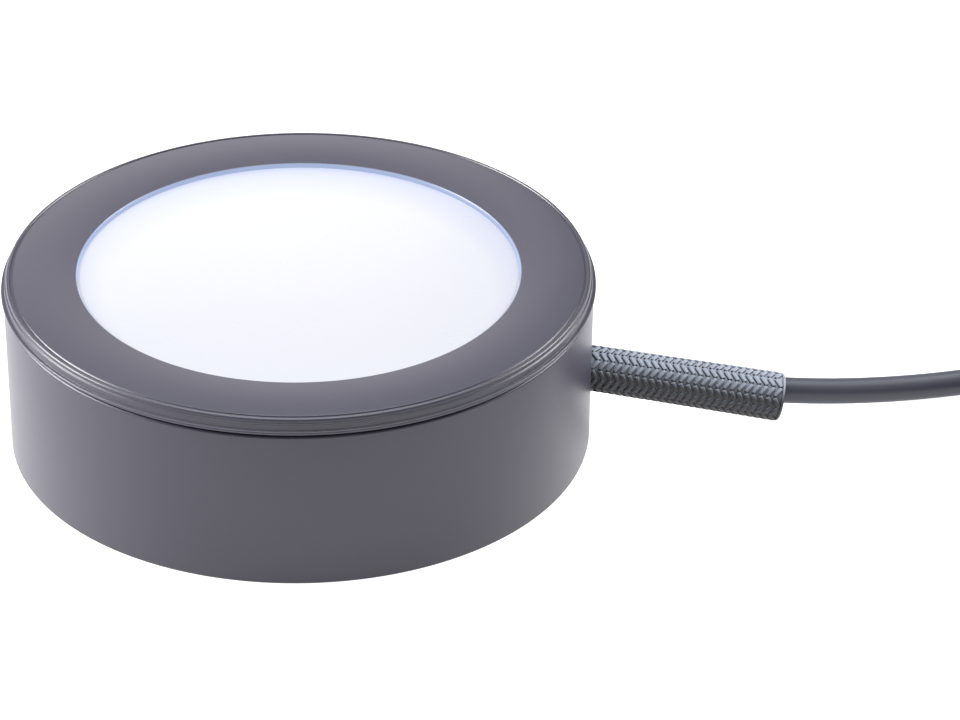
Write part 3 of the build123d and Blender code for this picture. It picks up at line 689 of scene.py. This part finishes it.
# %% Build the fine surface group
def build_fine_surface():
    """A node group: two sizes of noise mixed into colour, roughness and height."""
    group = bpy.data.node_groups.new("fine_surface", "ShaderNodeTree")
    face = group.interface
    for socket, kind, start in (
        ("Colour", "NodeSocketColor", (0.5, 0.5, 0.5, 1.0)),
        ("Grain per metre", "NodeSocketFloat", 3000.0),
        ("Patches per metre", "NodeSocketFloat", 60.0),
        ("Tone change", "NodeSocketFloat", 0.1),
        ("Roughness", "NodeSocketFloat", 0.4),
        ("Roughness change", "NodeSocketFloat", 0.1),
    ):
        face.new_socket(socket, in_out="INPUT", socket_type=kind).default_value = start
    for socket, kind in (
        ("Colour", "NodeSocketColor"), ("Roughness", "NodeSocketFloat"), ("Height", "NodeSocketFloat"),
    ):
        face.new_socket(socket, in_out="OUTPUT", socket_type=kind)
    nodes, link = group.nodes, group.links.new
    given = nodes.new("NodeGroupInput")
    result = nodes.new("NodeGroupOutput")
    place = nodes.new("ShaderNodeTexCoord")
    grain = nodes.new("ShaderNodeTexNoise")
    grain.inputs["Detail"].default_value = 3.0
    patches = nodes.new("ShaderNodeTexNoise")
    patches.inputs["Detail"].default_value = 4.0
    link(place.outputs["Object"], grain.inputs["Vector"])
    link(place.outputs["Object"], patches.inputs["Vector"])
    link(given.outputs["Grain per metre"], grain.inputs["Scale"])
    link(given.outputs["Patches per metre"], patches.inputs["Scale"])
    swing = nodes.new("ShaderNodeMath")
    swing.operation = "SUBTRACT"
    swing.inputs[1].default_value = 0.5
    link(patches.outputs["Fac"], swing.inputs[0])
    tone = nodes.new("ShaderNodeMath")
    tone.operation = "MULTIPLY_ADD"
    tone.inputs[2].default_value = 1.0
    link(swing.outputs[0], tone.inputs[0])
    link(given.outputs["Tone change"], tone.inputs[1])
    shade = nodes.new("ShaderNodeVectorMath")
    shade.operation = "SCALE"
    link(given.outputs["Colour"], shade.inputs[0])
    link(tone.outputs[0], shade.inputs["Scale"])
    rough = nodes.new("ShaderNodeMath")
    rough.operation = "MULTIPLY_ADD"
    link(swing.outputs[0], rough.inputs[0])
    link(given.outputs["Roughness change"], rough.inputs[1])
    link(given.outputs["Roughness"], rough.inputs[2])
    link(shade.outputs[0], result.inputs["Colour"])
    link(rough.outputs[0], result.inputs["Roughness"])
    link(grain.outputs["Fac"], result.inputs["Height"])
    return group


fine_surface = build_fine_surface()
print("group:", fine_surface.name)


def linear(red, green, blue):
    """A colour given on the 0 to 255 screen scale, made linear for a shader."""
    values = []
    for value in (red, green, blue):
        value /= 255
        values.append(value / 12.92 if value <= 0.04045 else ((value + 0.055) / 1.055) ** 2.4)
    return (*values, 1.0)


def make_finish(name, colour, roughness, metallic=0.0, grain=3000.0, patches=60.0, tone=0.1, change=0.1,
                depth_mm=0.01, strength=0.4):
    """A material whose colour, roughness and bump come from the fine surface group."""
    material = bpy.data.materials.new(name)
    material.use_nodes = True
    nodes, link = material.node_tree.nodes, material.node_tree.links.new
    shader = nodes["Principled BSDF"]
    shader.inputs["Metallic"].default_value = metallic
    surface = nodes.new("ShaderNodeGroup")
    surface.node_tree = fine_surface
    surface.inputs["Colour"].default_value = linear(*colour)
    surface.inputs["Grain per metre"].default_value = grain
    surface.inputs["Patches per metre"].default_value = patches
    surface.inputs["Tone change"].default_value = tone
    surface.inputs["Roughness"].default_value = roughness
    surface.inputs["Roughness change"].default_value = change
    bump = nodes.new("ShaderNodeBump")
    bump.inputs["Distance"].default_value = depth_mm * mm
    bump.inputs["Strength"].default_value = strength
    link(surface.outputs["Colour"], shader.inputs["Base Color"])
    link(surface.outputs["Roughness"], shader.inputs["Roughness"])
    link(surface.outputs["Height"], bump.inputs["Height"])
    link(bump.outputs["Normal"], shader.inputs["Normal"])
    return material


def share_of_distance(material, start_mm, end_mm, shift_mm=0.0):
    """Nodes that turn the distance from the Z axis into a share: 0 at the start and 1 at the end."""
    nodes, link = material.node_tree.nodes, material.node_tree.links.new
    place = nodes.new("ShaderNodeTexCoord")
    moved = nodes.new("ShaderNodeVectorMath")
    moved.operation = "ADD"
    moved.inputs[1].default_value = (0.0, shift_mm * mm, 0.0)
    flat = nodes.new("ShaderNodeVectorMath")
    flat.operation = "MULTIPLY"
    flat.inputs[1].default_value = (1.0, 1.0, 0.0)
    distance = nodes.new("ShaderNodeVectorMath")
    distance.operation = "LENGTH"
    share = nodes.new("ShaderNodeMapRange")
    share.inputs["From Min"].default_value = start_mm * mm
    share.inputs["From Max"].default_value = end_mm * mm
    link(place.outputs["Object"], moved.inputs[0])
    link(moved.outputs[0], flat.inputs[0])
    link(flat.outputs[0], distance.inputs[0])
    link(distance.outputs["Value"], share.inputs["Value"])
    return share.outputs["Result"]


# %% [markdown]
# ## Paint, rubber and plastic
# The ring and the cup wear nearly the same dark grey satin paint, with a touch of blue. It isn't bare
# metal, so it stays non-metallic and its gloss comes from the paint. The braid is a matt yarn, the
# lead's jacket is smoother than the braid, and the plug is a plain moulded plastic.

# %% Mix the finishes of the outside
paint = make_finish("satin_grey_paint", (56, 53, 66), 0.34, tone=0.05, change=0.08, depth_mm=0.006)
ring_paint = make_finish("ring_grey_paint", (57, 55, 66), 0.32, tone=0.05, change=0.08, depth_mm=0.005)
braid_yarn = make_finish(
    "braid_yarn", (84, 85, 92), 0.6, grain=9000.0, patches=400.0, tone=0.3, depth_mm=0.03, strength=0.6
)
jacket = make_finish("lead_jacket", (60, 61, 71), 0.4, grain=2500.0, tone=0.06, depth_mm=0.008)
bush_rubber = make_finish("bush_rubber", (42, 42, 46), 0.6, tone=0.15, depth_mm=0.02)
strap_plastic = make_finish("strap_plastic", (30, 30, 32), 0.45, tone=0.15, depth_mm=0.02)
grip_plastic = make_finish("grip_plastic", (44, 44, 48), 0.5, tone=0.12, depth_mm=0.03)
nickel_plate = make_finish("nickel_plate", (152, 149, 142), 0.3, metallic=1.0, tone=0.06, depth_mm=0.002)
print("paint and plastic:", [m.name for m in (paint, ring_paint, braid_yarn, jacket, grip_plastic)])

# %% [markdown]
# The photograph shows pale strands where they face up and a dark underside, further apart than
# these lamps set them. Two tones, mixed by the height of the surface normal, paint that on: a painted
# highlight on the strands that face up and painted shade on their underside. The ring's bore sits a
# hair's breadth from the glowing lens and shows its edge light. A faint pale blue painted glow of the
# paint, only inside the opening's radius, stands in for the lens's light on it.

# %% Paint light and shade on the yarn and a glow in the bore
yarn_nodes, yarn_link = braid_yarn.node_tree.nodes, braid_yarn.node_tree.links.new
yarn_normal = yarn_nodes.new("ShaderNodeNewGeometry")
yarn_parts = yarn_nodes.new("ShaderNodeSeparateXYZ")
yarn_light_share = yarn_nodes.new("ShaderNodeMapRange")
yarn_light_share.inputs["From Min"].default_value = 0.25
yarn_light_share.inputs["From Max"].default_value = 0.68
# Painted highlight and painted shade: the strands get a pale tone where they face up and a dark tone
# underneath.
yarn_lit_and_shaded_tones = yarn_nodes.new("ShaderNodeValToRGB")
yarn_lit_and_shaded_tones.color_ramp.elements[0].color = linear(57, 56, 59)
yarn_lit_and_shaded_tones.color_ramp.elements[1].color = linear(136, 142, 154)
yarn_surface = next(node for node in yarn_nodes if node.type == "GROUP")
yarn_link(yarn_normal.outputs["Normal"], yarn_parts.inputs[0])
yarn_link(yarn_parts.outputs["Z"], yarn_light_share.inputs["Value"])
yarn_link(yarn_light_share.outputs["Result"], yarn_lit_and_shaded_tones.inputs["Fac"])
yarn_link(yarn_lit_and_shaded_tones.outputs["Color"], yarn_surface.inputs["Colour"])

ring_shader = ring_paint.node_tree.nodes["Principled BSDF"]
# Painted glow: the ring's paint glows pale blue inside the opening's radius, standing in for the lens's light
# on the bore.
bore_glow_share = share_of_distance(ring_paint, aperture + 0.14, aperture + 0.02)
ring_paint.node_tree.links.new(bore_glow_share, ring_shader.inputs["Emission Strength"])
ring_shader.inputs["Emission Color"].default_value = (0.33, 0.42, 0.63, 1.0)
print("yarn tones and bore glow set")

# %% [markdown]
# ## Opal lens
# The lens glows evenly because the opal plastic scatters the light of the LEDs behind it. It is a
# little warmer in the middle and falls off to a pale blue at its rim, where less light reaches it.
# The distance from the axis drives a colour ramp that feeds the emission's colour. Its centre is
# moved 4 mm to the front, because the far rim is the dimmer one.

# %% Light the lens
opal = make_finish("opal_glow", (96, 98, 108), 0.28, tone=0.02, change=0.05, depth_mm=0.002)
opal_nodes, opal_link = opal.node_tree.nodes, opal.node_tree.links.new
opal_shader = opal_nodes["Principled BSDF"]
glow_shift = 4.0
opal_share = share_of_distance(opal, 0.0, lens_face + glow_shift, glow_shift)
opal_ramp = opal_nodes.new("ShaderNodeValToRGB")
opal_ramp.color_ramp.elements[0].position = 0.1
opal_ramp.color_ramp.elements[0].color = (1.0, 0.976, 0.97, 1.0)
opal_ramp.color_ramp.elements[1].position = 1.0
opal_ramp.color_ramp.elements[1].color = (0.62, 0.66, 0.86, 1.0)
middle_stop = opal_ramp.color_ramp.elements.new(0.75)
middle_stop.color = (0.95, 0.95, 0.955, 1.0)
opal_link(opal_share, opal_ramp.inputs["Fac"])
opal_link(opal_ramp.outputs["Color"], opal_shader.inputs["Emission Color"])
opal_shader.inputs["Emission Strength"].default_value = 0.6
print("opal lens glows at", opal_shader.inputs["Emission Strength"].default_value)

# %% [markdown]
# The pieces that were built here have no finish yet, so one table names a material for each of
# them. The plug's four pieces alternate between plastic and nickel.

# %% Put the finishes on
outside_finish = {
    bezel_ring: ring_paint,
    housing_cup: paint,
    opal_disc: opal,
    sleeve_braid: braid_yarn,
    bush_ring: bush_rubber,
    tie_strap: strap_plastic,
    lead: jacket,
}
for piece, slot_finish in zip(plug_pieces, (grip_plastic, nickel_plate, grip_plastic, nickel_plate)):
    outside_finish[piece] = slot_finish
for piece, finish in outside_finish.items():
    piece.data.materials.append(finish)
print(len(outside_finish), "pieces painted")

# %% [markdown]
# ## Inside
# The nodes that stay as the model gives them still get a real finish each: white moulded plastic, a
# white solder mask, bare metal with a fine grain, green board, black components. The record names a
# slot for every node, so one table of slots covers them all.

# %% Finish the inside
inside_finish = {
    "black_rubber": bush_rubber,
    "white_plastic": make_finish("white_moulding", (232, 232, 230), 0.45, tone=0.04, depth_mm=0.01),
    "white_board": make_finish("white_mask", (236, 236, 232), 0.35, tone=0.03, depth_mm=0.004),
    "led_phosphor": make_finish("phosphor_yellow", (240, 214, 120), 0.55, tone=0.1, depth_mm=0.02),
    "pad_rubber": make_finish("pad_blue_grey", (122, 136, 150), 0.7, tone=0.1, depth_mm=0.03),
    "bare_aluminium": make_finish("milled_aluminium", (200, 202, 204), 0.35, 1.0, tone=0.08, depth_mm=0.01),
    "screw_steel": make_finish("screw_steel", (184, 184, 182), 0.3, 1.0, tone=0.1, depth_mm=0.006),
    "green_board": make_finish("green_mask", (24, 92, 52), 0.4, patches=300.0, tone=0.3, depth_mm=0.01),
    "black_component": make_finish("black_epoxy", (34, 34, 35), 0.55, tone=0.15, depth_mm=0.01),
    "can_aluminium": make_finish("can_aluminium", (210, 210, 212), 0.28, 1.0, tone=0.05, depth_mm=0.004),
    "red_insulation": make_finish("red_insulation", (170, 26, 24), 0.4, tone=0.08, depth_mm=0.006),
    "black_insulation": make_finish("black_insulation", (26, 26, 27), 0.4, tone=0.1, depth_mm=0.006),
    "clamp_plastic": make_finish("clamp_nylon", (52, 52, 53), 0.5, tone=0.1, depth_mm=0.02),
}
slot_of = {part["node"]: part["material_slot"] for part in frame["record"]["subparts"]}
finished = 0
for node, thing in frame["nodes"].items():
    if not thing.hide_render:
        thing.data.materials.clear()
        thing.data.materials.append(inside_finish[slot_of[node]])
        finished += 1
print(finished, "inner nodes finished")
